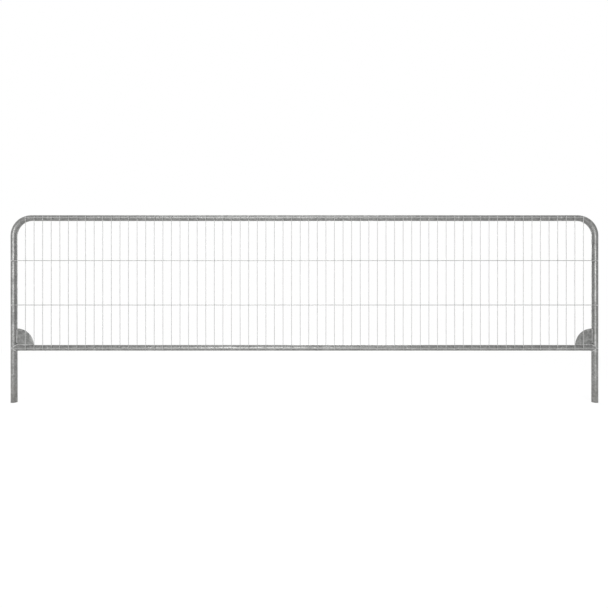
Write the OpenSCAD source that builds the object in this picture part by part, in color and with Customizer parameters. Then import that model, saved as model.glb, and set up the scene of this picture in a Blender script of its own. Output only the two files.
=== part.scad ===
// Low round-top mesh fence panel: one bent tube frame, a bottom rail, corner gussets and a welded wire mesh.
// The origin is the centre of the left post's lower end. X runs along the panel, the mesh faces -Y, Z is up.
// The bent tube's straight lengths and bends are nodes of their own, so that each collides as its own shape.

/* [Frame] */
// Width over the two posts
panel_w = 3450; // [1500:50:4200]
// Height from the post ends to the top of the frame
panel_h = 1100; // [900:50:2400]
// Outside diameter of the frame tube
tube_d = 33.7; // [25:0.1:45]
// Wall thickness of the frame tube
tube_wall = 1.5; // [1.2:0.1:3]
// Centre-line radius of the two top bends
bend_r = 105; // [80:1:200]
// Height of the bottom rail's axis above the post ends
rail_h = 320; // [200:5:400]
// Length taken off the tips of the rail's saddle-cut ends, measured from the post's axis
rail_tip_trim = 8; // [6:0.5:12]

/* [Gussets] */
// Radius of the quarter-round corner plates
gusset_r = 97; // [60:1:140]
// Thickness of the corner plates
gusset_t = 4; // [3:0.5:6]
// Room that the bevel at the plate's inner corner leaves past the rail's weld
gusset_bevel_room = 1; // [0.5:0.5:4]

/* [Wire mesh] */
// Diameter of the upright wires
upright_wire_d = 3; // [2:0.5:4]
// Diameter of the cross wires
cross_wire_d = 4; // [3:0.5:5]
// Distance between upright wires
wire_pitch = 50; // [40:5:100]
// Least distance from a post's inner face to the first upright wire
mesh_margin = 60; // [50:5:70]
// Distance between the two middle cross wires
middle_wire_gap = 259; // [150:1:300]
// Length of the upright wires past the outer cross wires
upright_overhang = 8; // [3:1:8]
// Length of the lower cross wires past the posts' axes
cross_overhang = 4; // [0:1:8]
// Length of the top cross wire past the first and last upright wires
top_wire_overhang = 10; // [4:1:12]
// Depth to which the crossing wires are forged into each other
wire_weld_depth = 0.4; // [0.2:0.1:0.6]

/* [Welds] */
// Leg of the weld round each end of the bottom rail
rail_weld_leg = 4; // [3:0.5:5]
// Radius of the weld beads along the corner plates
gusset_weld_r = 3; // [2.5:0.5:4]
// Length of plate edge left bare at each end of its beads
gusset_weld_inset = 3; // [2:1:10]

/* [Fits] */
// Gap left between pieces that are welded together
seat_gap = 0.1; // [0.05:0.05:0.2]

/* [Hidden] */

// Sides of the frame tube's circles
tube_fn = 64;
// Sides of the wires
wire_fn = 8;
// Length by which a cut runs past what it cuts
cut_over = 1;

tube_r = tube_d / 2;
bore_r = tube_r - tube_wall;
post_span = panel_w - tube_d;
top_rail_h = panel_h - tube_r;
post_straight = top_rail_h - bend_r;

// Inner corner that a plate sits in, on the left
corner_x = tube_r + seat_gap;
corner_z = rail_h + tube_r + seat_gap;
gusset_bevel = 2 * rail_weld_leg + gusset_bevel_room;

clear_w = panel_w - 2 * tube_d;
upright_count = floor((clear_w - 2 * mesh_margin) / wire_pitch) + 1;
upright_span = (upright_count - 1) * wire_pitch;
first_upright_x = (post_span - upright_span) / 2;
cross_y = -(tube_r + seat_gap + cross_wire_d / 2);
upright_y = cross_y - (cross_wire_d + upright_wire_d) / 2 + wire_weld_depth;
mesh_middle_h = (rail_h + top_rail_h) / 2;

// Place along the left bend up to which the top cross wire still lies well on the tube
bend_drop = tube_r / 2;
bend_reach = bend_r - sqrt(pow(bend_r, 2) - pow(bend_r - bend_drop, 2));
top_wire_start = max(first_upright_x - top_wire_overhang, bend_reach);

lower_cross_heights = [
    rail_h,
    mesh_middle_h - middle_wire_gap / 2,
    mesh_middle_h + middle_wire_gap / 2
];

zinc = [0.66, 0.67, 0.66];
bright_zinc = [0.76, 0.77, 0.76];
weld_zinc = [0.58, 0.59, 0.58];

// Height of the frame's centre line over the mesh, at a place along the panel
function frame_line_h(x) =
    let (into_bend = bend_r - min(x, post_span - x))
    into_bend > 0
        ? post_straight + sqrt(pow(bend_r, 2) - pow(into_bend, 2))
        : top_rail_h;

// Section of the frame tube
module tube_ring() {
    difference() {
        circle(r = tube_r, $fn = tube_fn);
        circle(r = bore_r, $fn = tube_fn);
    }
}

// Straight length of frame tube, rising from the origin
module straight_tube(length) {
    linear_extrude(height = length) tube_ring();
}

// Turns what is built on the left into its twin on the right
module on_right() {
    translate([post_span, 0, 0]) mirror([1, 0, 0]) children();
}

// Lays a shape that stands on the origin along +X
module along_x() {
    rotate([0, 90, 0]) children();
}

module left_post() {
    color(zinc) straight_tube(post_straight);
}

// Quarter bend from the top of the left post to the start of the top rail
module left_bend() {
    color(zinc)
        translate([bend_r, 0, post_straight])
            rotate([90, 0, 0])
                rotate_extrude(angle = 90, start = 90, $fn = 4 * tube_fn)
                    translate([bend_r, 0]) tube_ring();
}

module top_rail() {
    color(zinc)
        translate([bend_r, 0, top_rail_h]) along_x() straight_tube(post_span - 2 * bend_r);
}

module right_bend() {
    on_right() left_bend();
}

module right_post() {
    on_right() left_post();
}

module bottom_rail() {
    saddle_r = tube_r + seat_gap;
    saddle_h = 2 * tube_d;
    color(zinc) difference() {
        translate([rail_tip_trim, 0, rail_h]) along_x() straight_tube(post_span - 2 * rail_tip_trim);
        for (post_x = [0, post_span])
            translate([post_x, 0, rail_h - saddle_h / 2])
                cylinder(r = saddle_r, h = saddle_h, $fn = tube_fn);
    }
}

// Outline of a corner plate, with its right angle at the origin
module gusset_outline() {
    difference() {
        intersection() {
            circle(r = gusset_r, $fn = 4 * tube_fn);
            square(gusset_r + cut_over);
        }
        polygon([
            [-cut_over, -cut_over],
            [gusset_bevel + cut_over, -cut_over],
            [-cut_over, gusset_bevel + cut_over]
        ]);
    }
}

module left_gusset() {
    color(bright_zinc)
        translate([corner_x, gusset_t / 2, corner_z])
            rotate([90, 0, 0])
                linear_extrude(height = gusset_t) gusset_outline();
}

module right_gusset() {
    on_right() left_gusset();
}

// Wire of the given diameter across its flats, rising from the origin with flats to the front and back
module wire(diameter, length) {
    rotate([0, 0, 180 / wire_fn])
        cylinder(r = diameter / 2 / cos(180 / wire_fn), h = length, $fn = wire_fn);
}

// Cross wire between two places along the panel
module cross_wire(start_x, end_x, height) {
    translate([start_x, cross_y, height]) along_x() wire(cross_wire_d, end_x - start_x);
}

// Upright wire that crosses both rails and stays inside the frame's outline at the bends
module upright_wire(x) {
    start_h = rail_h - upright_overhang;
    translate([x, upright_y, start_h])
        wire(upright_wire_d, frame_line_h(x) + upright_overhang - start_h);
}

module wire_mesh() {
    color(bright_zinc) union() {
        for (i = [0 : upright_count - 1])
            upright_wire(first_upright_x + i * wire_pitch);
        for (height = lower_cross_heights)
            cross_wire(-cross_overhang, post_span + cross_overhang, height);
        cross_wire(top_wire_start, post_span - top_wire_start, top_rail_h);
    }
}

// Welds above and below the left end of the bottom rail, which leave the front clear for the lowest cross wire
module left_rail_weld() {
    bead_h = 2 * (tube_r + rail_weld_leg);
    color(weld_zinc) translate([0, 0, rail_h]) difference() {
        intersection() {
            translate([0, 0, -bead_h / 2])
                cylinder(r = tube_r + rail_weld_leg, h = bead_h, $fn = tube_fn);
            along_x() cylinder(r = tube_r + rail_weld_leg, h = bead_h, $fn = tube_fn);
            cube([bead_h, tube_d, bead_h], center = true);
        }
        translate([0, 0, -bead_h])
            cylinder(r = tube_r + seat_gap, h = 2 * bead_h, $fn = tube_fn);
        along_x() cylinder(r = tube_r + seat_gap, h = bead_h, $fn = tube_fn);
    }
}

module right_rail_weld() {
    on_right() left_rail_weld();
}

// Section of the two beads where a plate meets a tube, with the tube's axis at the origin
module seam_section() {
    difference() {
        translate([corner_x, 0]) circle(r = gusset_t / 2 + gusset_weld_r, $fn = tube_fn);
        circle(r = tube_r + seat_gap, $fn = tube_fn);
        square([4 * tube_d, gusset_t + 2 * seat_gap], center = true);
    }
}

module left_gusset_welds() {
    bead_start = gusset_bevel + gusset_weld_inset;
    bead_l = gusset_r - gusset_weld_inset - bead_start;
    color(weld_zinc) {
        translate([0, 0, corner_z + bead_start])
            linear_extrude(height = bead_l) seam_section();
        translate([corner_x + bead_start, 0, rail_h])
            along_x() rotate([0, 0, 180]) linear_extrude(height = bead_l) seam_section();
    }
}

module right_gusset_welds() {
    on_right() left_gusset_welds();
}

left_post();
left_bend();
top_rail();
right_bend();
right_post();
bottom_rail();
left_gusset();
right_gusset();
wire_mesh();
left_rail_weld();
right_rail_weld();
left_gusset_welds();
right_gusset_welds();
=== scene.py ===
"""Low round-top mesh fence panel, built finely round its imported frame.

Everything is in metres. The origin is the centre of the left post's lower end, X runs along the panel,
the mesh faces -Y and Z is up. Each sub-assembly is a class that makes its own pieces and dresses them.
"""

import logging
import math
from dataclasses import dataclass
from enum import Enum
from typing import Any, Callable, Iterable, Sequence

import bmesh
import bpy
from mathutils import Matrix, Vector

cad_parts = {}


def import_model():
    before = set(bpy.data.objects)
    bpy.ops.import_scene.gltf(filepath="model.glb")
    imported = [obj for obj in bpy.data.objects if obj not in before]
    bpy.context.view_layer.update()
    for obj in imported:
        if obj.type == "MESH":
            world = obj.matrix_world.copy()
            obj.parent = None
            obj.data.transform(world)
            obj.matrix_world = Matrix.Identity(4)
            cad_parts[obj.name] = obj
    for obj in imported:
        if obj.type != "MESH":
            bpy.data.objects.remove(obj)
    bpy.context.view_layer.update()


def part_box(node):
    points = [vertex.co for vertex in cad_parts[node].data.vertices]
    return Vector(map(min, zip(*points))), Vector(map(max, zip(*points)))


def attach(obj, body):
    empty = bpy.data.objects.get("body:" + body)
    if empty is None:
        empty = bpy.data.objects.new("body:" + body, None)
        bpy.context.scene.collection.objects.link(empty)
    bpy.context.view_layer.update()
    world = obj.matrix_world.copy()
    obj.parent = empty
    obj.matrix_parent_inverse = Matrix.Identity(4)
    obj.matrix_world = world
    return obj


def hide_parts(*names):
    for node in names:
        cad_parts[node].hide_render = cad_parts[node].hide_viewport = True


LOG = logging.getLogger("fence_panel")
BODY = "root"
MM = 0.001

Point = tuple[float, float, float]
Colour = tuple[float, float, float, float]
Bead = tuple[list[Point], list[float]]
Socket = bpy.types.NodeSocket
Tree = bpy.types.NodeTree
Piece = bpy.types.Object

WHITE: Colour = (1.0, 1.0, 1.0, 1.0)


class Slot(str, Enum):
    """Material slots of the record."""

    TUBE = "galvanised_tube"
    PLATE = "galvanised_plate"
    WIRE = "galvanised_wire"
    WELD = "galvanised_weld"


class End(Enum):
    """The two ends of the panel, with the way that leads to the panel's middle."""

    LEFT = 1.0
    RIGHT = -1.0


@dataclass(frozen=True)
class PanelPlan:
    """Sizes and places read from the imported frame.

    Attributes:
        span: Distance between the posts' axes.
        tube_r: Outer radius of the frame tube.
        bend_r: Centre-line radius of the top bends.
        top_h: Height of the top rail's axis.
        rail_h: Height of the bottom rail's axis.
        corner_x: Place of the left plate's upright edge.
        corner_z: Height of the plates' lower edge.
        plate_r: Radius of the plates' round edge.
        plate_t: Thickness of the plates.
        mesh_low: Lowest corner of the wire mesh.
        mesh_high: Highest corner of the wire mesh.
    """

    span: float
    tube_r: float
    bend_r: float
    top_h: float
    rail_h: float
    corner_x: float
    corner_z: float
    plate_r: float
    plate_t: float
    mesh_low: Vector
    mesh_high: Vector

    @classmethod
    def from_frame(cls) -> "PanelPlan":
        """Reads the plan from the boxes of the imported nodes.

        Returns:
            The panel's sizes and places.
        """
        post_low, post_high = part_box("left_post")
        far_low, far_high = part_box("right_post")
        _, bend_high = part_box("left_bend")
        top_low, top_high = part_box("top_rail")
        rail_low, rail_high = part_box("bottom_rail")
        plate_low, plate_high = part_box("left_gusset")
        mesh_low, mesh_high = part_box("wire_mesh")
        return cls(
            span=(far_low.x + far_high.x) / 2,
            tube_r=(post_high.y - post_low.y) / 2,
            bend_r=bend_high.x,
            top_h=(top_low.z + top_high.z) / 2,
            rail_h=(rail_low.z + rail_high.z) / 2,
            corner_x=plate_low.x,
            corner_z=plate_low.z,
            plate_r=plate_high.x - plate_low.x,
            plate_t=plate_high.y - plate_low.y,
            mesh_low=mesh_low,
            mesh_high=mesh_high,
        )

    @property
    def post_straight(self) -> float:
        """Height at which the posts start to bend."""
        return self.top_h - self.bend_r

    def at_end(self, end: End, x: float) -> float:
        """Place of something that lies x from one end's post axis, towards the middle."""
        return x if end is End.LEFT else self.span - x


class Graph:
    """A node tree under construction, with short calls for adding and joining nodes."""

    COLUMN_WIDTH = 180

    def __init__(self, tree: Tree) -> None:
        """Keeps the tree that the calls add to."""
        self.tree = tree
        self.columns = 0

    def add(self, kind: str, inputs: dict[Any, Any] | None = None, **settings: Any) -> bpy.types.Node:
        """Adds a node.

        Args:
            kind: The node's type name.
            inputs: Sockets or plain values for the node's inputs, by name or number.
            **settings: Properties of the node.

        Returns:
            The node.
        """
        node = self.tree.nodes.new(kind)
        node.location = (self.COLUMN_WIDTH * self.columns, 0)
        self.columns += 1
        for name, value in settings.items():
            setattr(node, name, value)
        for key, value in (inputs or {}).items():
            self.feed(node.inputs[key], value)
        return node

    def feed(self, socket: Socket, value: Any) -> None:
        """Joins a socket to an output, or gives it a plain value."""
        if isinstance(value, Socket):
            self.tree.links.new(value, socket)
        else:
            socket.default_value = value

    def math(self, operation: str, *values: Any, clamp: bool = False) -> Socket:
        """Adds a sum on numbers and gives its result."""
        node = self.add("ShaderNodeMath", dict(enumerate(values)), operation=operation, use_clamp=clamp)
        return node.outputs[0]

    def share(self, first: Any, second: Any, part: float) -> Socket:
        """Gives a mean of two numbers in which the first has the given part."""
        return self.math("MULTIPLY_ADD", first, part, self.math("MULTIPLY", second, 1 - part))

    def span(self, value: Any, low: Any, high: Any, to_low: Any = 0.0, to_high: Any = 1.0) -> Socket:
        """Maps a value smoothly from one range to another and gives the result."""
        places = {"Value": value, "From Min": low, "From Max": high, "To Min": to_low, "To Max": to_high}
        return self.add("ShaderNodeMapRange", places, interpolation_type="SMOOTHSTEP").outputs["Result"]

    def vector(self, **places: Any) -> Socket:
        """Makes a vector of the places given as X, Y and Z."""
        return self.add("ShaderNodeCombineXYZ", places).outputs[0]

    def vector_math(self, operation: str, vector: Any, other: Any) -> Socket:
        """Adds a sum on a vector and another, or on a vector and a number where it is scaled."""
        places = {0: vector, "Scale" if operation == "SCALE" else 1: other}
        return self.add("ShaderNodeVectorMath", places, operation=operation).outputs[0]

    def noise(self, vector: Any, scale: Any, detail: float, roughness: float = 0.5) -> Socket:
        """Adds a noise texture and gives its value."""
        places = {"Vector": vector, "Scale": scale, "Detail": detail, "Roughness": roughness}
        return self.add("ShaderNodeTexNoise", places).outputs["Fac"]

    def random(self, low: Any, high: Any, seed: Any, number: Any = None) -> Socket:
        """Draws a random number for each item, or for each of the given numbers."""
        places = {2: low, 3: high, "Seed": seed}
        if number is not None:
            places["ID"] = number
        return self.add("FunctionNodeRandomValue", places).outputs[1]

    def blend(self, factor: Any, first: Any, second: Any) -> Socket:
        """Mixes two colours and gives the result."""
        places = {0: factor, 6: first, 7: second}
        return self.add("ShaderNodeMix", places, data_type="RGBA").outputs[2]


def blank_material(name: str) -> tuple[bpy.types.Material, Graph]:
    """Makes a material with an empty tree, and gives it with the graph that fills the tree."""
    material = bpy.data.materials.new(name)
    material.use_nodes = True
    material.node_tree.nodes.clear()
    return material, Graph(material.node_tree)


class GroupMaker(Graph):
    """A node group under construction, with named inputs and outputs."""

    def __init__(self, name: str, kind: str, inputs: dict[str, Any], outputs: dict[str, str]) -> None:
        """Makes the group and its sockets.

        Args:
            name: The group's name.
            kind: Type name of the node tree.
            inputs: Default values of the inputs by name. A string stands for a socket type of that name.
            outputs: Socket types of the outputs by name.
        """
        super().__init__(bpy.data.node_groups.new(name, kind))
        kinds = {bool: "Bool", int: "Int", float: "Float"}
        for label, value in inputs.items():
            if isinstance(value, str):
                self._declare(label, "INPUT", value)
            else:
                self._declare(label, "INPUT", kinds[type(value)]).default_value = value
        for label, socket_type in outputs.items():
            self._declare(label, "OUTPUT", socket_type)
        self.given = self.add("NodeGroupInput").outputs
        self.result = self.add("NodeGroupOutput").inputs

    def _declare(self, label: str, in_out: str, kind: str) -> bpy.types.NodeTreeInterfaceSocket:
        """Adds an input or output socket of the given kind."""
        return self.tree.interface.new_socket(label, in_out=in_out, socket_type="NodeSocket" + kind)

    def close(self, **outputs: Any) -> Tree:
        """Joins the outputs and gives the finished tree."""
        for label, socket in outputs.items():
            self.feed(self.result[label], socket)
        return self.tree


class ShapeTrees:
    """Geometry Nodes trees for what repeats or follows a path, each built once.

    Attributes:
        LEAST_SAG: Least share of the bow that an upright also bows backwards.
    """

    LEAST_SAG = 0.1

    def __init__(self) -> None:
        """Builds the trees."""
        self.swept_bar = self._swept_bar()
        self.upright_wires = self._upright_wires()
        self.lumps = self._lumps()
        self.weld_bead = self._weld_bead()

    @staticmethod
    def _start(name: str, sizes: dict[str, Any]) -> GroupMaker:
        """Starts a tree that takes a mesh, some sizes and a material."""
        inputs = {"Geometry": "Geometry", **sizes, "Material": "Material"}
        return GroupMaker(name, "GeometryNodeTree", inputs, {"Geometry": "Geometry"})

    @staticmethod
    def _finish(graph: GroupMaker, geometry: Socket) -> Tree:
        """Ends a tree in smooth shading, realized instances and its material."""
        smooth = graph.add("GeometryNodeSetShadeSmooth", {"Geometry": geometry})
        real = graph.add("GeometryNodeRealizeInstances", {"Geometry": smooth.outputs[0]})
        dress = {"Geometry": real.outputs[0], "Material": graph.given["Material"]}
        return graph.close(Geometry=graph.add("GeometryNodeSetMaterial", dress).outputs[0])

    @staticmethod
    def _skin(graph: Graph, path: Socket, sides: Any, radius: Any, capped: Any, **more: Any) -> Socket:
        """Sweeps a ring along a path and gives the mesh, where more holds the skin's other inputs."""
        ring = graph.add("GeometryNodeCurvePrimitiveCircle", {"Resolution": sides, "Radius": radius})
        inputs = {"Curve": path, "Profile Curve": ring.outputs[0], "Fill Caps": capped, **more}
        return graph.add("GeometryNodeCurveToMesh", inputs).outputs[0]

    @staticmethod
    def _on_points(graph: Graph, points: Socket, shape: Socket, **more: Any) -> Socket:
        """Puts a copy of a shape on each point and makes the copies real."""
        inputs = {"Points": points, "Instance": shape, **more}
        copies = graph.add("GeometryNodeInstanceOnPoints", inputs)
        return graph.add("GeometryNodeRealizeInstances", {"Geometry": copies.outputs[0]}).outputs[0]

    @staticmethod
    def _move(graph: Graph, geometry: Socket, offset: Socket) -> Socket:
        """Moves each point of a surface by its offset."""
        return graph.add("GeometryNodeSetPosition", {"Geometry": geometry, "Offset": offset}).outputs[0]

    def _roughen(self, graph: GroupMaker, geometry: Socket) -> Socket:
        """Pushes a surface in and out along its normals by a noise of the tree's own grain and depth."""
        place = graph.add("GeometryNodeInputPosition").outputs[0]
        moved = graph.vector_math("ADD", place, graph.vector(X=graph.given["Seed"]))
        noise = graph.noise(moved, graph.math("DIVIDE", 1.0, graph.given["Grain"]), 2.0)
        push = graph.math("MULTIPLY", graph.math("SUBTRACT", noise, 0.5), graph.given["Roughening"])
        normal = graph.add("GeometryNodeInputNormal").outputs[0]
        return self._move(graph, geometry, graph.vector_math("SCALE", normal, push))

    def _swept_bar(self) -> Tree:
        """Round bar or tube skin along the edges of the mesh that it is put on."""
        graph = self._start("swept_bar", {"Radius": 0.01, "Sides": 48, "Capped": False})
        given = graph.given
        path = graph.add("GeometryNodeMeshToCurve", {"Mesh": given["Geometry"]}).outputs[0]
        return self._finish(graph, self._skin(graph, path, given["Sides"], given["Radius"], given["Capped"]))

    @staticmethod
    def _wire_length(graph: GroupMaker, along: Socket) -> Socket:
        """Length of the upright at a place along the panel, where the frame's bends cut it short."""
        given = graph.given
        to_end = graph.math("MINIMUM", along, graph.math("SUBTRACT", given["Span"], along))
        into_bend = graph.math("MAXIMUM", graph.math("SUBTRACT", given["Bend Radius"], to_end), 0.0)
        squares = [graph.math("POWER", side, 2.0) for side in (given["Bend Radius"], into_bend)]
        rise = graph.math("SQRT", graph.math("SUBTRACT", *squares))
        tip = graph.math("ADD", graph.math("ADD", given["Post Straight"], rise), given["Overhang"])
        return graph.math("SUBTRACT", tip, given["Foot Height"])

    def _bow(self, graph: GroupMaker, along: Socket, height: Socket) -> Socket:
        """Shift of an upright off its straight line, which is nought where it meets a cross wire."""
        given = graph.given
        from_first = graph.math("SUBTRACT", along, given["First Place"])
        number = graph.math("ROUND", graph.math("DIVIDE", from_first, given["Pitch"]))
        sway = graph.random(-1.0, 1.0, given["Seed"], number)
        sag = graph.random(self.LEAST_SAG, 1.0, graph.math("ADD", given["Seed"], 1.0), number)
        from_middle = graph.math("SUBTRACT", height, given["Crossing Middle"])
        reaches = (from_middle, given["Crossing Reach"], given["Middle Reach"])
        here, outer, inner = (graph.math("POWER", reach, 2.0) for reach in reaches)
        to_crossings = [graph.math("SUBTRACT", here, crossing) for crossing in (outer, inner)]
        most = graph.math("POWER", graph.math("DIVIDE", graph.math("SUBTRACT", outer, inner), 2.0), 2.0)
        freedom = graph.math("DIVIDE", graph.math("MULTIPLY", *to_crossings), most)
        bow = graph.math("MULTIPLY", freedom, given["Bow"])
        backwards = graph.math("MULTIPLY", graph.math("ABSOLUTE", bow), sag)
        return graph.vector(X=graph.math("MULTIPLY", bow, sway), Y=backwards)

    def _upright_wires(self) -> Tree:
        """Row of upright wires under the frame's line, each a little bowed between its crossings."""
        sizes = {
            "Count": 66, "Pitch": 0.05, "First Place": 0.083, "Depth Place": -0.022, "Foot Height": 0.312,
            "Overhang": 0.008, "Radius": 0.0015, "Sides": 10, "Rings": 25, "Post Straight": 0.978,
            "Bend Radius": 0.105, "Span": 3.416, "Crossing Middle": 0.7, "Crossing Reach": 0.38,
            "Middle Reach": 0.13, "Bow": 0.0006, "Seed": 3,
        }
        graph = self._start("upright_wires", sizes)
        given = graph.given
        start = graph.vector(X=given["First Place"], Y=given["Depth Place"], Z=given["Foot Height"])
        places = {"Count": given["Count"], "Start Location": start, "Offset": graph.vector(X=given["Pitch"])}
        row = graph.add("GeometryNodeMeshLine", places)
        rod = graph.add("GeometryNodeCurvePrimitiveLine", {"Start": (0.0, 0.0, 0.0), "End": (0.0, 0.0, 1.0)})
        rings = graph.add("GeometryNodeResampleCurve", {"Curve": rod.outputs[0], "Count": given["Rings"]})
        wire = self._skin(graph, rings.outputs[0], given["Sides"], given["Radius"], True)
        place = graph.add("ShaderNodeSeparateXYZ", {0: graph.add("GeometryNodeInputPosition").outputs[0]})
        along, height = place.outputs[0], place.outputs[2]
        stretch = graph.vector(X=1.0, Y=1.0, Z=self._wire_length(graph, along))
        wires = self._on_points(graph, row.outputs[0], wire, Scale=stretch)
        return self._finish(graph, self._move(graph, wires, self._bow(graph, along, height)))

    def _lumps(self) -> Tree:
        """Small rounded lump on each point of the mesh that it is put on."""
        sizes = {
            "Length": 0.003, "Depth": 0.002, "Height": 0.003, "Segments": 8, "Rings": 6,
            "Variation": 0.2, "Grain": 0.002, "Roughening": 0.0004, "Seed": 5,
        }
        graph = self._start("lumps", sizes)
        given = graph.given
        places = {"Segments": given["Segments"], "Rings": given["Rings"], "Radius": 1.0}
        ball = graph.add("GeometryNodeMeshUVSphere", places).outputs[0]
        low, high = (graph.math(way, 1.0, given["Variation"]) for way in ("SUBTRACT", "ADD"))
        size = graph.random(low, high, given["Seed"])
        turn = graph.random(-0.5, 0.5, graph.math("ADD", given["Seed"], 1.0))
        half = {name: graph.math("MULTIPLY", given[name], 0.5) for name in ("Length", "Depth", "Height")}
        across, up = (graph.math("MULTIPLY", half[name], size) for name in ("Length", "Height"))
        scale = graph.vector(X=across, Y=half["Depth"], Z=up)
        tilt = graph.vector(Y=graph.math("MULTIPLY", turn, given["Variation"]))
        lumps = self._on_points(graph, given["Geometry"], ball, Rotation=tilt, Scale=scale)
        return self._finish(graph, self._roughen(graph, lumps))

    def _weld_bead(self) -> Tree:
        """Rippled weld bead along the edges of a mesh, as thick as the mesh's bead_radius says."""
        sizes = {
            "Sides": 12, "Ring Spacing": 0.0005, "Ripple Length": 0.002, "Ripple Depth": 0.12,
            "Grain": 0.003, "Roughening": 0.0004, "Seed": 9,
        }
        graph = self._start("weld_bead", sizes)
        given = graph.given
        path = graph.add("GeometryNodeMeshToCurve", {"Mesh": given["Geometry"]})
        places = {"Curve": path.outputs[0], "Length": given["Ring Spacing"]}
        rings = graph.add("GeometryNodeResampleCurve", places, mode="LENGTH").outputs[0]
        run = graph.add("GeometryNodeSplineParameter").outputs["Length"]
        ripple = graph.math("FRACT", graph.math("DIVIDE", run, given["Ripple Length"]))
        swell = graph.math("MULTIPLY_ADD", graph.math("SUBTRACT", ripple, 0.5), given["Ripple Depth"], 1.0)
        bead_radius = graph.add("GeometryNodeInputNamedAttribute", {"Name": "bead_radius"}, data_type="FLOAT")
        scale = graph.math("MULTIPLY", bead_radius.outputs[0], swell)
        bead = self._skin(graph, rings, given["Sides"], 1.0, True, Scale=scale)
        return self._finish(graph, self._roughen(graph, bead))


class ZincEffects:
    """Shader node groups for effects that several finishes share, each built once.

    Attributes:
        WARP_SCALE: How much finer the crystals' ragged outline is than the crystals.
        SMALL_SCALE: How much finer the small crystals are than the large ones.
        PATCH_EDGE: Softness of a dull patch's edge.
        RUN_STRETCH: Squeeze of the pattern that makes it run down the surface.
        DIRT_SCALE: Fineness of the dirt's ragged upper edge, per metre.
        RUB_STRETCH: Squeeze of the pattern that draws scratches out along the posts.
        RUB_EDGE: Values of the scratch pattern between which rubbing starts and is full.
    """

    WARP_SCALE = 2.2
    SMALL_SCALE = 2.6
    PATCH_EDGE = 0.16
    RUN_STRETCH = (3.0, 3.0, 0.6)
    DIRT_SCALE = 34.0
    RUB_STRETCH = (1.0, 1.0, 0.12)
    RUB_EDGE = (0.6, 0.72)

    def __init__(self) -> None:
        """Builds the groups."""
        self.spangle = self._spangle()
        self.patina = self._patina()
        self.handling = self._handling()
        self.micro_grain = self._micro_grain()

    @staticmethod
    def _start(name: str, sizes: dict[str, float], *results: str) -> GroupMaker:
        """Starts a group that takes a place and some sizes, and gives numbers."""
        outputs = {result: "Float" for result in results}
        return GroupMaker(name, "ShaderNodeTree", {"Vector": "Vector", **sizes}, outputs)

    def _spangle(self) -> Tree:
        """Zinc crystals: each has its own brightness, its own gloss and a slight step in height."""
        sizes = {"Crystal Size": 0.008, "Feathering": 0.3}
        graph = self._start("zinc_spangle", sizes, "Tone", "Gloss", "Height")
        vector, crystal = graph.given["Vector"], graph.given["Crystal Size"]
        scale = graph.math("DIVIDE", 1.0, crystal)
        places = {"Vector": vector, "Scale": graph.math("MULTIPLY", scale, self.WARP_SCALE), "Detail": 3.0}
        warp = graph.add("ShaderNodeTexNoise", places).outputs["Color"]
        centred = graph.vector_math("SUBTRACT", warp, (0.5, 0.5, 0.5))
        reach = graph.math("MULTIPLY", crystal, graph.given["Feathering"])
        place = graph.vector_math("ADD", vector, graph.vector_math("SCALE", centred, reach))
        fine = graph.math("MULTIPLY", scale, self.SMALL_SCALE)
        large, small = (
            graph.add("ShaderNodeTexVoronoi", {"Vector": place, "Scale": size}).outputs
            for size in (scale, fine)
        )
        large_tone, small_tone = (
            graph.add("ShaderNodeSeparateColor", {0: cells["Color"]}).outputs for cells in (large, small)
        )
        step = graph.math("MULTIPLY", large_tone[2], 0.5)
        return graph.close(
            Tone=graph.share(small_tone[0], large_tone[0], 0.35),
            Gloss=graph.share(small_tone[1], large_tone[1], 0.3),
            Height=graph.math("MULTIPLY_ADD", large["Distance"], -0.5, step),
        )

    def _patina(self) -> Tree:
        """Soft dull patches, with short runs down the surface."""
        graph = self._start("zinc_patina", {"Patch Size": 0.06, "Cover": 0.5}, "Dull")
        vector = graph.given["Vector"]
        scale = graph.math("DIVIDE", 1.0, graph.given["Patch Size"])
        patches = graph.noise(vector, scale, 4.0, 0.6)
        runs = graph.noise(graph.vector_math("MULTIPLY", vector, self.RUN_STRETCH), scale, 3.0, 0.55)
        middle = graph.math("SUBTRACT", 1.0, graph.given["Cover"])
        low, high = (graph.math(way, middle, self.PATCH_EDGE) for way in ("SUBTRACT", "ADD"))
        return graph.close(Dull=graph.span(graph.share(runs, patches, 0.4), low, high))

    def _handling(self) -> Tree:
        """Dirt that climbs the feet, and rubbed streaks scattered by a noise and drawn out up and down."""
        graph = self._start("site_handling", {"Dirt Height": 0.1, "Rub Size": 0.012}, "Dirt", "Rub")
        vector, climb = graph.given["Vector"], graph.given["Dirt Height"]
        height = graph.add("ShaderNodeSeparateXYZ", {0: vector}).outputs[2]
        ragged = graph.math("MULTIPLY", graph.noise(vector, self.DIRT_SCALE, 4.0, 0.65), climb)
        dirt = graph.span(graph.math("SUBTRACT", height, ragged), 0.0, climb, 1.0, 0.0)
        scale = graph.math("DIVIDE", 1.0, graph.given["Rub Size"])
        scratches = graph.noise(graph.vector_math("MULTIPLY", vector, self.RUB_STRETCH), scale, 3.0, 0.6)
        return graph.close(Dirt=dirt, Rub=graph.span(scratches, *self.RUB_EDGE))

    def _micro_grain(self) -> Tree:
        """Fine orange-peel grain of a dipped surface."""
        graph = self._start("dipped_grain", {"Grain Size": 0.0015}, "Height")
        scale = graph.math("DIVIDE", 1.0, graph.given["Grain Size"])
        return graph.close(Height=graph.noise(graph.given["Vector"], scale, 2.0))


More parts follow.
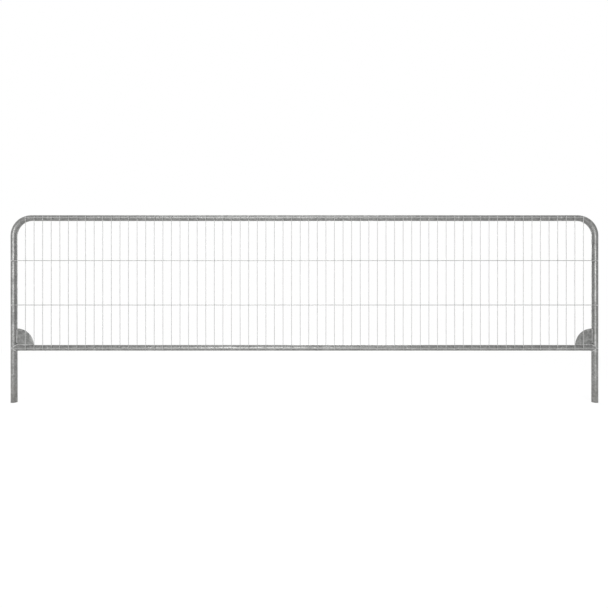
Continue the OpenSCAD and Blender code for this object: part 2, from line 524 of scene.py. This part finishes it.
@dataclass(frozen=True)
class Wear:
    """How age and use show on every zinc finish.

    Attributes:
        dirt_colour: Colour of the dirt.
        dirt_part: Part of the dirt's colour where it lies thickest.
        dirt_roughness: Roughness that full dirt adds.
        dull_shade: Brightness of fully dulled zinc, against the finish's own.
        dull_roughness: Roughness that a dull patch adds.
        dull_metal: Part of the metallic look that a dull patch loses.
        rub_shade: Brightness of rubbed zinc, against the finish's own.
        rub_part: Part of the rubbed brightness in a rubbed streak.
        gloss_range: Change of roughness from the glossiest crystal to the mattest.
        grain_relief: Height of the fine grain, against the crystals' own relief.
        specular: Strength of the reflection of the part that isn't metallic.
    """

    dirt_colour: Colour = (0.16, 0.14, 0.115, 1.0)
    dirt_part: float = 0.14
    dirt_roughness: float = 0.3
    dull_shade: float = 0.35
    dull_roughness: float = 0.14
    dull_metal: float = 0.25
    rub_shade: float = 1.35
    rub_part: float = 0.35
    gloss_range: float = 0.12
    grain_relief: float = 0.35
    specular: float = 0.2


WEAR = Wear()


@dataclass(frozen=True)
class ZincFinish:
    """A galvanised finish.

    Attributes:
        name: Name of the material.
        colour: Mean colour of the zinc.
        contrast: Change of brightness from the mean to the darkest and to the brightest crystal.
        crystal_size: Width of the zinc crystals.
        patch_size: Width of the dull patches.
        cover: Share of the surface that has gone dull.
        dulling: How far a dull patch goes towards fully dulled zinc.
        metallic: How metallic the bright zinc is.
        roughness: Mean roughness.
        bump: Depth of the crystals' relief.
        grain_size: Width of the fine grain.
        dirt_height: Height to which dirt climbs from the ground.
    """

    name: str
    colour: Point
    contrast: float = 0.3
    crystal_size: float = 0.008
    patch_size: float = 0.06
    cover: float = 0.5
    dulling: float = 0.2
    metallic: float = 0.45
    roughness: float = 0.5
    bump: float = 0.0002
    grain_size: float = 0.0015
    dirt_height: float = 0.1

    def shade(self, factor: float) -> Colour:
        """The zinc's colour, made lighter or darker."""
        return (*(min(c * factor, 1.0) for c in self.colour), 1.0)

    def material(self, effects: ZincEffects) -> bpy.types.Material:
        """Builds the material.

        Args:
            effects: The shared node groups.

        Returns:
            The finished material.
        """
        material, graph = blank_material(self.name)
        place = graph.add("ShaderNodeTexCoord").outputs["Object"]
        spangle = self._effect(graph, effects.spangle, {"Vector": place, "Crystal Size": self.crystal_size})
        patches = {"Vector": place, "Patch Size": self.patch_size, "Cover": self.cover}
        patina = self._effect(graph, effects.patina, patches)["Dull"]
        handling = self._effect(graph, effects.handling, {"Vector": place, "Dirt Height": self.dirt_height})
        grain = self._effect(graph, effects.micro_grain, {"Vector": place, "Grain Size": self.grain_size})

        crystal = graph.blend(spangle["Tone"], self.shade(1 - self.contrast), self.shade(1 + self.contrast))
        dull = graph.math("MULTIPLY", patina, self.dulling)
        dulled = graph.blend(dull, crystal, self.shade(WEAR.dull_shade))
        rub = graph.math("MULTIPLY", handling["Rub"], WEAR.rub_part)
        rubbed = graph.blend(rub, dulled, self.shade(WEAR.rub_shade))
        dirt = graph.math("MULTIPLY", handling["Dirt"], WEAR.dirt_part)
        colour = graph.blend(dirt, rubbed, WEAR.dirt_colour)

        worn = graph.math("MULTIPLY_ADD", patina, WEAR.dull_roughness, self.roughness - WEAR.gloss_range)
        matt = graph.math("MULTIPLY_ADD", spangle["Gloss"], WEAR.gloss_range, worn)
        roughness = graph.math("MULTIPLY_ADD", dirt, WEAR.dirt_roughness, matt, clamp=True)
        bare = graph.math("MULTIPLY_ADD", patina, -WEAR.dull_metal * self.metallic, self.metallic)
        metallic = graph.math("MULTIPLY", bare, graph.math("SUBTRACT", 1.0, dirt), clamp=True)
        relief = graph.math("MULTIPLY_ADD", grain["Height"], WEAR.grain_relief, spangle["Height"])
        bump = graph.add("ShaderNodeBump", {"Height": relief, "Distance": self.bump, "Strength": 1.0})

        looks = {
            "Base Color": colour, "Roughness": roughness, "Metallic": metallic,
            "Normal": bump.outputs[0], "Specular IOR Level": WEAR.specular,
        }
        shader = graph.add("ShaderNodeBsdfPrincipled", looks)
        graph.add("ShaderNodeOutputMaterial", {"Surface": shader.outputs[0]})
        return material

    @staticmethod
    def _effect(graph: Graph, group: Tree, inputs: dict[str, Any]) -> Any:
        """Places a shared node group in the material and gives its outputs."""
        node = graph.add("ShaderNodeGroup", node_tree=group)
        for label, value in inputs.items():
            graph.feed(node.inputs[label], value)
        return node.outputs


FINISHES: dict[Slot, ZincFinish] = {
    Slot.TUBE: ZincFinish(
        "dipped_tube_zinc", (0.214, 0.215, 0.211), contrast=0.3, crystal_size=0.009, cover=0.45,
        dulling=0.3, metallic=0.58, roughness=0.35,
    ),
    Slot.PLATE: ZincFinish(
        "dipped_plate_zinc", (0.246, 0.248, 0.243), contrast=0.45, crystal_size=0.011, patch_size=0.03,
        cover=0.5, dulling=0.35, metallic=0.42, roughness=0.5,
    ),
    Slot.WIRE: ZincFinish(
        "drawn_wire_zinc", (0.380, 0.382, 0.377), contrast=0.14, crystal_size=0.006, patch_size=0.09,
        cover=0.35, dulling=0.12, metallic=0.38, roughness=0.42, bump=0.00006, dirt_height=0.01,
    ),
    Slot.WELD: ZincFinish(
        "weld_zinc", (0.500, 0.502, 0.496), contrast=0.55, crystal_size=0.006, patch_size=0.012,
        cover=0.4, dulling=0.35, metallic=0.45, roughness=0.4, bump=0.00015, grain_size=0.0008,
    ),
}


class Workshop:
    """Makes pieces from meshes and node trees, dresses them and puts them on the panel.

    Attributes:
        WELD_DISTANCE: Distance within which points are joined.
        BEVEL_ANGLE: Least angle of an edge that is rounded.
        SHARP_ANGLE: Least angle of an edge that is shaded sharp.
    """

    WELD_DISTANCE = 1e-6
    BEVEL_ANGLE = math.radians(40)
    SHARP_ANGLE = math.radians(50)

    def __init__(self) -> None:
        """Builds the trees, the node groups and the finishes."""
        self.trees = ShapeTrees()
        effects = ZincEffects()
        self.materials = {slot: finish.material(effects) for slot, finish in FINISHES.items()}

    def path_mesh(
        self, paths: Iterable[Sequence[Point]], radii: Iterable[Sequence[float]] | None = None
    ) -> bpy.types.Mesh:
        """Makes a mesh of open lines.

        Args:
            paths: The points of each line.
            radii: Bead radius at each of the same points, where the lines carry weld beads.

        Returns:
            The mesh, with only vertices and edges.
        """
        points: list[Point] = []
        edges: list[tuple[int, int]] = []
        for path in paths:
            first = len(points)
            points.extend(path)
            edges.extend((first + i, first + i + 1) for i in range(len(path) - 1))
        mesh = bpy.data.meshes.new("path")
        mesh.from_pydata(points, edges, [])
        if radii is not None:
            thickness = mesh.attributes.new("bead_radius", "FLOAT", "POINT")
            thickness.data.foreach_set("value", [r for line in radii for r in line])
        return mesh

    def grow(self, name: str, base: bpy.types.Mesh, tree: Tree, slot: Slot, sizes: dict[str, Any]) -> Piece:
        """Runs a tree on a base mesh and keeps the result as a plain mesh.

        Args:
            name: Name of the piece.
            base: Mesh of points or lines that the tree works on.
            tree: The tree.
            slot: Material slot of the piece.
            sizes: Values of the tree's inputs, by name.

        Returns:
            The new object, with no modifier left on it.
        """
        piece = bpy.data.objects.new(name, base)
        bpy.context.scene.collection.objects.link(piece)
        modifier = piece.modifiers.new(tree.name, "NODES")
        modifier.node_group = tree
        values = {**sizes, "Material": self.materials[slot]}
        for item in tree.interface.items_tree:
            if item.item_type == "SOCKET" and item.in_out == "INPUT" and item.name in values:
                modifier[item.identifier] = values[item.name]
        self.settle(piece)
        mesh = piece.data
        mesh.materials.clear()
        mesh.materials.append(self.materials[slot])
        mesh.polygons.foreach_set("material_index", [0] * len(mesh.polygons))
        return piece

    def settle(self, piece: Piece) -> None:
        """Turns a piece and its modifiers into a plain mesh."""
        graph = bpy.context.evaluated_depsgraph_get()
        mesh = bpy.data.meshes.new_from_object(piece.evaluated_get(graph), depsgraph=graph)
        mesh.name = piece.name
        piece.modifiers.clear()
        piece.data = mesh

    def raise_mesh(self, name: str, build: Callable[[bmesh.types.BMesh], None], slot: Slot) -> Piece:
        """Makes a piece from a function that fills a bmesh.

        Args:
            name: Name of the piece.
            build: Function that adds the shape to the bmesh.
            slot: Material slot of the piece.

        Returns:
            The new object.
        """
        work = bmesh.new()
        build(work)
        bmesh.ops.remove_doubles(work, verts=work.verts, dist=self.WELD_DISTANCE)
        bmesh.ops.recalc_face_normals(work, faces=work.faces)
        for face in work.faces:
            face.smooth = True
        mesh = bpy.data.meshes.new(name)
        work.to_mesh(mesh)
        work.free()
        mesh.materials.append(self.materials[slot])
        piece = bpy.data.objects.new(name, mesh)
        bpy.context.scene.collection.objects.link(piece)
        return piece

    def round_edges(self, piece: Piece, width: float, segments: int) -> None:
        """Rounds a piece's sharp edges and keeps the rest smooth."""
        bevel = piece.modifiers.new("rounded_edges", "BEVEL")
        bevel.width = width
        bevel.segments = segments
        bevel.limit_method = "ANGLE"
        bevel.angle_limit = self.BEVEL_ANGLE
        self.settle(piece)

    def lay_beads(self, node: str, beads: Sequence[Bead], seed: int) -> None:
        """Lays weld beads and puts them on the panel.

        Args:
            node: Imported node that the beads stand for.
            beads: Points and radii of each bead.
            seed: Seed of the beads' roughness.
        """
        base = self.path_mesh([points for points, _ in beads], [radii for _, radii in beads])
        weld = self.grow(f"{node}_beads", base, self.trees.weld_bead, Slot.WELD, {"Seed": seed})
        self.mount(weld, Slot.WELD, node)

    def mount(self, piece: Piece, slot: Slot, *nodes: str) -> None:
        """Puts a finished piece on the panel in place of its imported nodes.

        Args:
            piece: The finished piece.
            slot: Material slot that it takes its finish from.
            *nodes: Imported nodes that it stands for.
        """
        piece.data.set_sharp_from_angle(angle=self.SHARP_ANGLE)
        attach(piece, BODY)
        if nodes:
            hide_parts(*nodes)
        triangles = sum(len(face.vertices) - 2 for face in piece.data.polygons)
        told = (piece.name, triangles, slot.value, nodes or "none")
        LOG.info("%s: %d triangles, finish %s, stands for %s", *told)


@dataclass
class FrameTube:
    """The bent tube: two posts, two bends and the top rail in one length.

    Attributes:
        plan: The panel's sizes.
        wall: Wall thickness of the tube.
        sides: Sides of the tube's section.
        bend_steps: Rings along each bend.
        straight_step: Distance between rings on the straights.
        rim_round: Rounding of the cut ends' edges.
        rim_steps: Steps across that rounding.
    """

    plan: PanelPlan
    wall: float = 1.5 * MM
    sides: int = 56
    bend_steps: int = 36
    straight_step: float = 0.1
    rim_round: float = 0.35 * MM
    rim_steps: int = 2

    def centre_line(self) -> list[Point]:
        """Points along the tube's axis, from the left foot to the right foot."""
        plan = self.plan
        clear = plan.span - 2 * plan.bend_r
        rise = max(1, round(plan.post_straight / self.straight_step))
        run = max(1, round(clear / self.straight_step))
        left = [(0.0, 0.0, plan.post_straight * i / rise) for i in range(rise)]
        for i in range(self.bend_steps):
            turn = math.pi / 2 * i / self.bend_steps
            x, z = plan.bend_r * (1 - math.cos(turn)), plan.post_straight + plan.bend_r * math.sin(turn)
            left.append((x, 0.0, z))
        top = [(plan.bend_r + clear * i / run, 0.0, plan.top_h) for i in range(run + 1)]
        right = [(plan.span - x, y, z) for x, y, z in reversed(left)]
        return left + top + right

    def build(self, shop: Workshop) -> None:
        """Sweeps the skin, gives it its wall and rounds the two cut ends."""
        tube = shop.grow(
            "frame_tube", shop.path_mesh([self.centre_line()]), shop.trees.swept_bar, Slot.TUBE,
            {"Radius": self.plan.tube_r, "Sides": self.sides, "Capped": False},
        )
        wall = tube.modifiers.new("tube_wall", "SOLIDIFY")
        wall.thickness = self.wall
        wall.offset = -1.0
        shop.settle(tube)
        shop.round_edges(tube, self.rim_round, self.rim_steps)
        shop.mount(tube, Slot.TUBE, "left_post", "left_bend", "top_rail", "right_bend", "right_post")


@dataclass
class BottomRail:
    """The bottom rail, with ends cut to sit round the posts.

    Attributes:
        plan: The panel's sizes.
        wall: Wall thickness of the tube.
        gap: Gap between the rail's ends and the posts.
        tip_trim: Distance from the post's axis at which the saddle's tips are cut off.
        sides: Sides of the rail's section.
        run_step: Distance between rings.
    """

    plan: PanelPlan
    wall: float = 1.5 * MM
    gap: float = 0.1 * MM
    tip_trim: float = 8 * MM
    sides: int = 64
    run_step: float = 0.1

    def _end_place(self, radius: float, turn: float) -> float:
        """Distance from the post's axis to the saddle cut, at a place round the section."""
        across = radius * math.cos(turn)
        return max(self.tip_trim, math.sqrt((self.plan.tube_r + self.gap) ** 2 - across**2))

    def _fill(self, work: bmesh.types.BMesh) -> None:
        """Adds the outer and inner walls and the cut ends."""
        plan = self.plan
        steps = round(plan.span / self.run_step)
        skins = []
        for radius in (plan.tube_r, plan.tube_r - self.wall):
            rings = []
            for i in range(steps + 1):
                ring = []
                for j in range(self.sides):
                    turn = 2 * math.pi * j / self.sides
                    start = self._end_place(radius, turn)
                    x = start + (plan.span - 2 * start) * i / steps
                    point = (x, radius * math.cos(turn), plan.rail_h + radius * math.sin(turn))
                    ring.append(work.verts.new(point))
                rings.append(ring)
            skins.append(rings)
        bands = [(rings[i], rings[i + 1]) for rings in skins for i in range(steps)]
        bands += [(skins[0][i], skins[1][i]) for i in (0, steps)]
        for near, far in bands:
            for j in range(self.sides):
                k = (j + 1) % self.sides
                work.faces.new((near[j], near[k], far[k], far[j]))

    def build(self, shop: Workshop) -> None:
        """Makes the rail and puts it on the panel."""
        shop.mount(shop.raise_mesh("bottom_rail_tube", self._fill, Slot.TUBE), Slot.TUBE, "bottom_rail")


@dataclass
class CornerPlate:
    """A quarter-round plate in the corner between a post and the bottom rail.

    Attributes:
        plan: The panel's sizes.
        end: End of the panel that it is on.
        node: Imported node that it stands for.
        snipe: Length cut off the square corner, which clears the rail's weld.
        arc_steps: Steps round the plate's edge.
        edge_round: Rounding of the plate's edges.
        edge_steps: Steps across that rounding.
    """

    plan: PanelPlan
    end: End
    node: str
    snipe: float = 9 * MM
    arc_steps: int = 60
    edge_round: float = 0.7 * MM
    edge_steps: int = 3

    def outline(self) -> list[tuple[float, float]]:
        """Points of the plate's outline, from the plate's square corner."""
        radius = self.plan.plate_r
        points = [(self.snipe, 0.0)]
        for i in range(self.arc_steps + 1):
            turn = math.pi / 2 * i / self.arc_steps
            points.append((radius * math.cos(turn), radius * math.sin(turn)))
        points.append((0.0, self.snipe))
        return points

    def _fill(self, work: bmesh.types.BMesh) -> None:
        """Adds the front, the back and the edge."""
        plan = self.plan
        places = [(plan.at_end(self.end, plan.corner_x + x), plan.corner_z + z) for x, z in self.outline()]
        front, back = (
            [work.verts.new((x, depth, z)) for x, z in places]
            for depth in (-plan.plate_t / 2, plan.plate_t / 2)
        )
        work.faces.new(front)
        work.faces.new(back)
        for i in range(len(front)):
            k = (i + 1) % len(front)
            work.faces.new((front[i], front[k], back[k], back[i]))

    def build(self, shop: Workshop) -> None:
        """Cuts the plate, rounds its edges and puts it on the panel."""
        plate = shop.raise_mesh(f"{self.node}_plate", self._fill, Slot.PLATE)
        shop.round_edges(plate, self.edge_round, self.edge_steps)
        shop.mount(plate, Slot.PLATE, self.node)


@dataclass
class WireMesh:
    """The welded mesh: uprights in front, cross wires behind, and a forged nugget at each crossing.

    Attributes:
        plan: The panel's sizes.
        upright_d: Diameter of the upright wires.
        cross_d: Diameter of the cross wires.
        pitch: Distance between uprights.
        count: Number of uprights.
        overhang: Length of the uprights past the outer cross wires.
        middle_gap: Distance between the two middle cross wires.
        cross_overhang: Length of the lower cross wires past the posts' axes.
        top_overhang: Length of the top cross wire past the first and last uprights.
        bow: Most that an upright bows between its crossings.
        cross_sides: Sides of the cross wires.
        nugget: Length, depth and height of the nugget at a crossing.
        nugget_front: Distance of the nuggets in front of the middle between the two wires' axes.
        tack: Length, depth and height of a tack weld.
        tack_front: Distance of the tack welds' middles in front of the tubes.
        tack_aside: Distance of the tack welds above and below a cross wire's axis.
        tack_first: Uprights before the first tack weld along a rail.
        tack_every: Uprights from one tack weld to the next.
    """

    plan: PanelPlan
    upright_d: float = 3 * MM
    cross_d: float = 4 * MM
    pitch: float = 50 * MM
    count: int = 66
    overhang: float = 8 * MM
    middle_gap: float = 259 * MM
    cross_overhang: float = 4 * MM
    top_overhang: float = 10 * MM
    bow: float = 0.4 * MM
    cross_sides: int = 12
    nugget: Point = (4.8 * MM, 2.8 * MM, 5.6 * MM)
    nugget_front: float = 0.25 * MM
    tack: Point = (9 * MM, 3.2 * MM, 3.6 * MM)
    tack_front: float = 0.9 * MM
    tack_aside: float = 2.1 * MM
    tack_first: int = 2
    tack_every: int = 6

    @property
    def first_x(self) -> float:
        """Place of the first upright."""
        return (self.plan.span - (self.count - 1) * self.pitch) / 2

    @property
    def upright_y(self) -> float:
        """Place of the uprights' axes across the panel."""
        return self.plan.mesh_low.y + self.upright_d / 2

    @property
    def cross_y(self) -> float:
        """Place of the cross wires' axes across the panel."""
        return self.plan.mesh_high.y - self.cross_d / 2

    @property
    def heights(self) -> tuple[float, ...]:
        """Heights of the four cross wires."""
        middle = (self.plan.rail_h + self.plan.top_h) / 2
        half = self.middle_gap / 2
        return (self.plan.rail_h, middle - half, middle + half, self.plan.top_h)

    def cross_lines(self) -> list[list[Point]]:
        """Points along each cross wire, evenly spaced and about two to each upright."""
        lines = []
        steps = 2 * (self.count + 1)
        for height in self.heights:
            reach = self.top_overhang if height == self.plan.top_h else self.first_x + self.cross_overhang
            start, stop = self.first_x - reach, self.plan.span - self.first_x + reach
            places = [start + (stop - start) * i / steps for i in range(steps + 1)]
            lines.append([(x, self.cross_y, height) for x in places])
        return lines

    def crossings(self) -> list[Point]:
        """Points at which the wires meet."""
        depth = (self.upright_y + self.cross_y) / 2 - self.nugget_front
        return [(self.first_x + i * self.pitch, depth, z) for z in self.heights for i in range(self.count)]

    def tacks(self) -> list[Point]:
        """Points of the small welds that hold the mesh to the tubes."""
        depth = -self.plan.tube_r - self.tack_front
        bays = range(self.tack_first, self.count - 1, self.tack_every)
        between = [self.first_x + (i + 0.5) * self.pitch for i in bays]
        seats = [(x, height) for height in (self.plan.rail_h, self.plan.top_h) for x in between]
        seats += [(x, height) for height in self.heights[:-1] for x in (0.0, self.plan.span)]
        return [(x, depth, height + way * self.tack_aside) for x, height in seats for way in (-1, 1)]

    @staticmethod
    def _lumps(
        shop: Workshop, name: str, points: list[Point], size: Point, slot: Slot, **more: int
    ) -> Piece:
        """Puts a small lump of the given length, depth and height on each point."""
        sizes = {**dict(zip(("Length", "Depth", "Height"), size)), **more}
        return shop.grow(name, shop.path_mesh([[p] for p in points]), shop.trees.lumps, slot, sizes)

    def build(self, shop: Workshop) -> None:
        """Makes the wires, the nuggets and the tacks, and puts them on the panel."""
        plan = self.plan
        sizes = {
            "Count": self.count, "Pitch": self.pitch, "First Place": self.first_x,
            "Depth Place": self.upright_y, "Foot Height": plan.rail_h - self.overhang,
            "Overhang": self.overhang, "Radius": self.upright_d / 2, "Bow": self.bow,
            "Post Straight": plan.post_straight, "Bend Radius": plan.bend_r, "Span": plan.span,
            "Crossing Middle": (plan.rail_h + plan.top_h) / 2,
            "Crossing Reach": (plan.top_h - plan.rail_h) / 2, "Middle Reach": self.middle_gap / 2,
        }
        uprights = shop.grow("mesh_uprights", shop.path_mesh([]), shop.trees.upright_wires, Slot.WIRE, sizes)
        shop.mount(uprights, Slot.WIRE, "wire_mesh")
        cross = shop.grow(
            "mesh_cross_wires", shop.path_mesh(self.cross_lines()), shop.trees.swept_bar, Slot.WIRE,
            {"Radius": self.cross_d / 2, "Sides": self.cross_sides, "Capped": True},
        )
        shop.mount(cross, Slot.WIRE, "wire_mesh")
        nuggets = self._lumps(shop, "mesh_nuggets", self.crossings(), self.nugget, Slot.WIRE)
        shop.mount(nuggets, Slot.WIRE, "wire_mesh")
        tacks = self._lumps(
            shop, "mesh_tack_welds", self.tacks(), self.tack, Slot.WELD, Segments=16, Rings=10, Seed=21
        )
        shop.mount(tacks, Slot.WELD)


@dataclass
class RailWeld:
    """The weld round one end of the bottom rail, in an upper and a lower bead.

    Attributes:
        plan: The panel's sizes.
        end: End of the panel that it is on.
        node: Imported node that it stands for.
        bead: Radius of the bead at its fullest.
        sweep: Angle to which the beads run round the joint, to the front and to the back.
        thinnest: Least radius of the bead, where the joint closes up.
        end_part: Part of its radius that the bead keeps at its ends.
        end_power: How late the bead thins towards its ends.
        steps: Points along each bead.
    """

    plan: PanelPlan
    end: End
    node: str
    bead: float = 3.1 * MM
    sweep: float = math.radians(78)
    thinnest: float = 0.12 * MM
    end_part: float = 0.25
    end_power: int = 10
    steps: int = 80

    def _bead(self, above: float) -> Bead:
        """Points and radii of the bead above or below the rail."""
        radius = self.plan.tube_r
        points, radii = [], []
        for i in range(self.steps + 1):
            place = 2 * i / self.steps - 1
            turn = self.sweep * place
            out = radius * math.cos(turn)
            x, z = self.plan.at_end(self.end, out), self.plan.rail_h + above * out
            points.append((x, radius * math.sin(turn), z))
            room = radius * (1 - abs(math.sin(turn)))
            closing = 1 - abs(place) ** self.end_power
            part = self.end_part + (1 - self.end_part) * closing
            radii.append(max(min(self.bead, room), self.thinnest) * part)
        return points, radii

    def build(self, shop: Workshop) -> None:
        """Lays both beads and puts them on the panel."""
        beads = [self._bead(above) for above in (1.0, -1.0)]
        shop.lay_beads(self.node, beads, 9 if self.end is End.LEFT else 14)


@dataclass
class PlateWelds:
    """The beads along a corner plate's straight edges, on both of its faces.

    Attributes:
        plan: The panel's sizes.
        end: End of the panel that they are on.
        node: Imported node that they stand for.
        start: Place along the edge at which a bead starts.
        stop_short: Length of edge left bare at its far end.
        post_bead: Radius of the beads along the post.
        rail_bead: Radius of the beads along the rail.
        off_face: Distance of a bead's middle off the plate's face.
        off_edge: Distance of a bead's middle in from the plate's edge.
        end_part: Part of its radius that a bead keeps at its ends.
        end_power: How late a bead thins towards its ends.
        steps: Points along each bead.
    """

    plan: PanelPlan
    end: End
    node: str
    start: float = 12 * MM
    stop_short: float = 3 * MM
    post_bead: float = 1.6 * MM
    rail_bead: float = 2.8 * MM
    off_face: float = 0.2 * MM
    off_edge: float = 0.3 * MM
    end_part: float = 0.2
    end_power: int = 24
    steps: int = 40

    def _bead(self, side: float, up: bool) -> Bead:
        """Points and radii of one bead, in front of or behind the plate, up the post or along the rail."""
        plan = self.plan
        stop = plan.plate_r - self.stop_short
        bead = self.post_bead if up else self.rail_bead
        depth = side * (plan.plate_t / 2 + self.off_face)
        points, radii = [], []
        for i in range(self.steps + 1):
            share = i / self.steps
            run = self.start + (stop - self.start) * share
            x, z = (self.off_edge, run) if up else (run, self.off_edge)
            points.append((plan.at_end(self.end, plan.corner_x + x), depth, plan.corner_z + z))
            closing = math.sqrt(max(1 - abs(2 * share - 1) ** self.end_power, 0.0))
            radii.append(bead * (self.end_part + (1 - self.end_part) * closing))
        return points, radii

    def build(self, shop: Workshop) -> None:
        """Lays the four beads and puts them on the panel."""
        beads = [self._bead(side, up) for side in (-1.0, 1.0) for up in (True, False)]
        shop.lay_beads(self.node, beads, 31 if self.end is End.LEFT else 37)


def grey(level: float) -> Colour:
    """An even grey."""
    return (level, level, level, 1.0)


@dataclass(frozen=True)
class Softbox:
    """A soft rectangular lamp that faces the panel's middle.

    Attributes:
        name: Name of the lamp.
        aside: Distance to the right of the panel's middle.
        depth: Place across the panel, which is below nought in front of it.
        height: Height over the ground.
        size: Width and height of the lamp's face.
        power: Power in watts.
    """

    name: str
    aside: float
    depth: float
    height: float
    size: tuple[float, float]
    power: float

    def hang(self, middle: Point) -> None:
        """Hangs the lamp and turns it to the panel's middle."""
        data = bpy.data.lights.new(self.name, "AREA")
        data.shape = "RECTANGLE"
        data.size, data.size_y = self.size
        data.energy = self.power
        lamp = bpy.data.objects.new(self.name, data)
        place = (middle[0] + self.aside, self.depth, self.height)
        lamp.location = place
        lamp.rotation_euler = (Vector(middle) - Vector(place)).to_track_quat("-Z", "Y").to_euler()
        bpy.context.scene.collection.objects.link(lamp)


SOFTBOXES = (
    Softbox("front_softbox", -1.2, -8.0, 2.2, (3.6, 4.4), 400.0),
    Softbox("upper_softbox", -1.6, -5.5, 4.3, (4.6, 1.4), 95.0),
    Softbox("overhead_softbox", -0.3, -0.4, 4.2, (5.0, 1.6), 60.0),
    Softbox("back_softbox", 1.2, 8.0, 2.2, (3.6, 4.4), 300.0),
)


@dataclass
class Studio:
    """The pale floor, the soft lamps, the world and the camera.

    Attributes:
        plan: The panel's sizes.
        world_level: Strength of the world's light on the panel.
        aim_height: Height of the point that the lamps face.
        floor_half: Half of the floor's width.
        floor_drop: Distance of the floor under the posts.
        floor_near: Distance from the panel's middle up to which the floor shows shadows.
        floor_far: Distance past which the floor is plain white.
        floor_glow: Brightness of the floor near the panel before light falls on it.
        floor_grey: Brightness of the shadowed part of the floor for the camera.
        floor_bounce: Brightness of the floor for the light that it throws back.
        eye: Place of the camera.
        lens: Focal length.
        sensor: Width of the camera's sensor, in the unit of the focal length.
        clip: Nearest and farthest distance that the camera sees.
    """

    plan: PanelPlan
    world_level: float = 0.18
    aim_height: float = 0.6
    floor_half: float = 40.0
    floor_drop: float = 0.5 * MM
    floor_near: float = 2.5
    floor_far: float = 4.5
    floor_glow: float = 0.93
    floor_grey: float = 0.12
    floor_bounce: float = 0.8
    eye: Point = (1.7054, -2.213, 0.578)
    lens: float = 22.27
    sensor: float = 36.0
    clip: tuple[float, float] = (0.05, 200.0)

    @staticmethod
    def _seen_directly(graph: Graph) -> Socket:
        """One for camera, mirror and glass rays, nought for the rest."""
        rays = graph.add("ShaderNodeLightPath").outputs
        seen = graph.math("MAXIMUM", rays["Is Camera Ray"], rays["Is Glossy Ray"])
        return graph.math("MAXIMUM", seen, rays["Is Transmission Ray"])

    def _world(self) -> None:
        """White where it is seen, and a plain grey light elsewhere."""
        world = bpy.data.worlds.new("plain_studio")
        world.use_nodes = True
        world.node_tree.nodes.clear()
        graph = Graph(world.node_tree)
        seen = self._seen_directly(graph)
        level = graph.math("MULTIPLY_ADD", seen, 1.0 - self.world_level, self.world_level)
        sky = graph.add("ShaderNodeBackground", {"Color": WHITE, "Strength": level})
        graph.add("ShaderNodeOutputWorld", {"Surface": sky.outputs[0]})
        bpy.context.scene.world = world

    def _floor_material(self) -> bpy.types.Material:
        """White where it is seen, with the panel's soft shadow near the panel."""
        material, graph = blank_material("pale_floor")
        place = graph.add("ShaderNodeTexCoord").outputs["Object"]
        away = graph.add("ShaderNodeVectorMath", {0: place}, operation="LENGTH").outputs["Value"]
        far = graph.span(away, self.floor_near, self.floor_far)
        level = graph.math("MULTIPLY_ADD", far, 1 - self.floor_glow, self.floor_glow)
        glow = graph.math("MULTIPLY", level, self._seen_directly(graph))
        shaded = graph.blend(far, grey(self.floor_grey), grey(0.0))
        camera_ray = graph.add("ShaderNodeLightPath").outputs["Is Camera Ray"]
        pale = graph.blend(camera_ray, grey(self.floor_bounce), shaded)
        matt = graph.add("ShaderNodeBsdfDiffuse", {"Color": pale})
        shine = graph.add("ShaderNodeEmission", {"Color": WHITE, "Strength": glow})
        both = graph.add("ShaderNodeAddShader", {0: matt.outputs[0], 1: shine.outputs[0]})
        graph.add("ShaderNodeOutputMaterial", {"Surface": both.outputs[0]})
        return material

    def _floor(self) -> None:
        """Lays the floor under the posts."""
        mesh = bpy.data.meshes.new("studio_floor")
        far = self.floor_half
        points = [(-far, -far, 0.0), (far, -far, 0.0), (far, far, 0.0), (-far, far, 0.0)]
        mesh.from_pydata(points, [], [(0, 1, 2, 3)])
        mesh.materials.append(self._floor_material())
        floor = bpy.data.objects.new("studio_floor", mesh)
        floor.location = (self.plan.span / 2, 0.0, -self.floor_drop)
        bpy.context.scene.collection.objects.link(floor)

    def _camera(self) -> None:
        """Sets up the camera, level and square to the panel, and makes it the scene's."""
        camera = bpy.data.objects.new("camera", bpy.data.cameras.new("camera"))
        camera.data.sensor_width = self.sensor
        camera.data.lens = self.lens
        camera.data.clip_start, camera.data.clip_end = self.clip
        camera.location = self.eye
        camera.rotation_euler = (math.pi / 2, 0.0, 0.0)
        bpy.context.scene.collection.objects.link(camera)
        bpy.context.scene.camera = camera

    def build(self) -> None:
        """Sets up the whole studio."""
        self._world()
        self._floor()
        for softbox in SOFTBOXES:
            softbox.hang((self.plan.span / 2, 0.0, self.aim_height))
        self._camera()
        bpy.context.scene.view_settings.view_transform = "Standard"


def main() -> None:
    """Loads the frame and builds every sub-assembly round it."""
    logging.basicConfig(level=logging.INFO, format="%(name)s: %(message)s")
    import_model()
    plan = PanelPlan.from_frame()
    shop = Workshop()
    FrameTube(plan).build(shop)
    BottomRail(plan).build(shop)
    for end, side in ((End.LEFT, "left"), (End.RIGHT, "right")):
        CornerPlate(plan, end, f"{side}_gusset").build(shop)
        RailWeld(plan, end, f"{side}_rail_weld").build(shop)
        PlateWelds(plan, end, f"{side}_gusset_welds").build(shop)
    WireMesh(plan).build(shop)
    Studio(plan).build()


if __name__ == "__main__":
    main()
